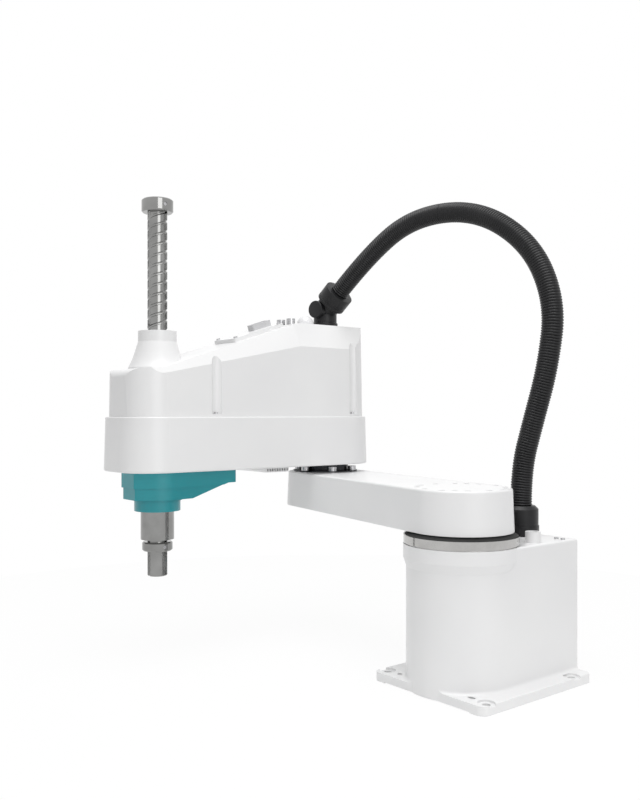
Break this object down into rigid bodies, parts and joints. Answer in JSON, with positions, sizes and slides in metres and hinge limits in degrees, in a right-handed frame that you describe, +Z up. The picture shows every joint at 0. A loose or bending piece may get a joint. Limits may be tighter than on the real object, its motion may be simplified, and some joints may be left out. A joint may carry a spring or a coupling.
{
  "type": "scara robot",
  "caption": "Scara robot with a bolted base, two horizontal arms, a vertical quill that slides and turns, and a bent cable hose from base to arm",
  "frame": {"origin": "centre of the four base bolt holes, on the mounting face under the base", "axes": "+Z up along all four joint axes, +X to the front of the base, +Y to the left"},
  "size_m": [0.4067, 0.4624, 0.5855],
  "materials": {
    "white_paint": "semi-gloss",
    "teal_paint": "semi-gloss",
    "polished_steel": "polished",
    "screw_steel": "satin",
    "dark_steel": "satin",
    "black_plastic": "satin",
    "grey_plastic": "matt",
    "clear_plastic": "gloss",
    "hose_plastic": "satin",
    "seal_rubber": "matt",
    "motor_black": "satin",
    "bracket_aluminium": "satin",
    "board_green": "satin"
  },
  "bodies": {
    "base": {"base_casting": "white_paint", "rear_panel": "white_paint", "base_screws": "screw_steel", "power_connector": "black_plastic", "signal_connector": "black_plastic", "rear_air_ports": "black_plastic", "base_post": "white_paint", "duct_body": "black_plastic", "duct_nut": "black_plastic", "base_ring": "polished_steel", "base_seal": "seal_rubber", "j1_reducer": "dark_steel", "j1_motor": "motor_black", "hose_lower": "hose_plastic"},
    "j1_wave_plug": {"j1_input_shaft": "dark_steel"},
    "lower_arm": {"j1_output_flange": "dark_steel", "lower_arm_casting": "white_paint", "lower_arm_cover": "white_paint", "lower_arm_screws": "screw_steel", "j2_reducer": "dark_steel", "j2_bolts": "screw_steel"},
    "upper_arm": {"j2_output_hub": "dark_steel", "upper_arm_casting": "white_paint", "upper_cover": "white_paint", "cover_screws": "screw_steel", "turret_ring": "white_paint", "top_panel": "white_paint", "dsub_connector": "grey_plastic", "top_air_ports": "black_plastic", "lamp_base": "grey_plastic", "lamp_dome": "clear_plastic", "elbow": "black_plastic", "elbow_nut": "black_plastic", "spindle_housing": "teal_paint", "spindle_ring": "teal_paint", "vent_cover": "white_paint", "j2_motor": "motor_black", "j3_motor": "motor_black", "j4_motor": "motor_black", "motor_brackets": "bracket_aluminium", "nut_bracket": "bracket_aluminium", "j3_belt": "seal_rubber", "j4_belt": "seal_rubber", "spline_housing": "bracket_aluminium", "quill_bearings": "dark_steel", "control_board": "board_green", "hose_upper": "hose_plastic"},
    "j2_wave_plug": {"j2_input_shaft": "dark_steel"},
    "spline": {"spline_nut": "dark_steel", "quill_sleeve": "polished_steel", "spline_pulley": "bracket_aluminium"},
    "quill": {"quill_shaft": "polished_steel", "top_collar": "polished_steel", "stop_collar": "polished_steel", "collar_screws": "screw_steel"},
    "ball_nut": {"ball_nut": "dark_steel", "nut_pulley": "bracket_aluminium"},
    "j3_pulley": {"j3_motor_pulley": "bracket_aluminium"},
    "j4_pulley": {"j4_motor_pulley": "bracket_aluminium"},
    "brake_button": {"brake_button": "black_plastic"}
  },
  "joints": [
    {"name": "joint_1", "type": "hinge", "parent": "base", "child": "lower_arm", "pos_m": [0.03, 0, 0.1782], "axis": [0, 0, 1], "range_deg": [-31, 233], "deforming": ["hose_lower"]},
    {"name": "joint_2", "type": "hinge", "parent": "lower_arm", "child": "upper_arm", "pos_m": [-0.03201, -0.31903, 0.2286], "axis": [0, 0, 1], "range_deg": [-248, 46], "deforming": ["hose_upper"]},
    {"name": "joint_4", "type": "hinge", "parent": "upper_arm", "child": "spline", "pos_m": [0.24299, -0.31903, 0.24], "axis": [0, 0, 1], "range_deg": [-360, 360]},
    {"name": "joint_3", "type": "slide", "parent": "spline", "child": "quill", "axis": [0, 0, 1], "range_m": [-0.15, 0]},
    {"name": "ball_nut_turn", "type": "hinge", "parent": "upper_arm", "child": "ball_nut", "pos_m": [0.24299, -0.31903, 0.3], "axis": [0, 0, 1], "range_deg": [-2170, 10]},
    {"name": "joint_3_motor", "type": "hinge", "parent": "upper_arm", "child": "j3_pulley", "pos_m": [0.13299, -0.31903, 0.306], "axis": [0, 0, 1], "range_deg": [-4330, 10]},
    {"name": "joint_4_motor", "type": "hinge", "parent": "upper_arm", "child": "j4_pulley", "pos_m": [0.05299, -0.31903, 0.26], "axis": [0, 0, 1], "range_deg": [-725, 725]},
    {"name": "joint_1_wave_plug", "type": "hinge", "parent": "base", "child": "j1_wave_plug", "pos_m": [0.03, 0, 0.13], "axis": [0, 0, 1], "range_deg": [-18650, 2490]},
    {"name": "joint_2_wave_plug", "type": "hinge", "parent": "upper_arm", "child": "j2_wave_plug", "pos_m": [-0.03201, -0.31903, 0.21], "axis": [0, 0, 1], "range_deg": [-2310, 12410]},
    {"name": "brake_button_press", "type": "slide", "parent": "upper_arm", "child": "brake_button", "axis": [0, 0, 1], "range_m": [-0.0015, 0], "stiffness_N_per_m": 400, "springref_m": 0.0005}
  ],
  "couplings": [
    {"joint": "ball_nut_turn", "follows": "joint_3", "rad_per_m": 251.33},
    {"joint": "joint_3_motor", "follows": "joint_3", "rad_per_m": 502.65},
    {"joint": "joint_4_motor", "follows": "joint_4", "ratio": 2},
    {"joint": "joint_1_wave_plug", "follows": "joint_1", "ratio": -80},
    {"joint": "joint_2_wave_plug", "follows": "joint_2", "ratio": -50}
  ]
}
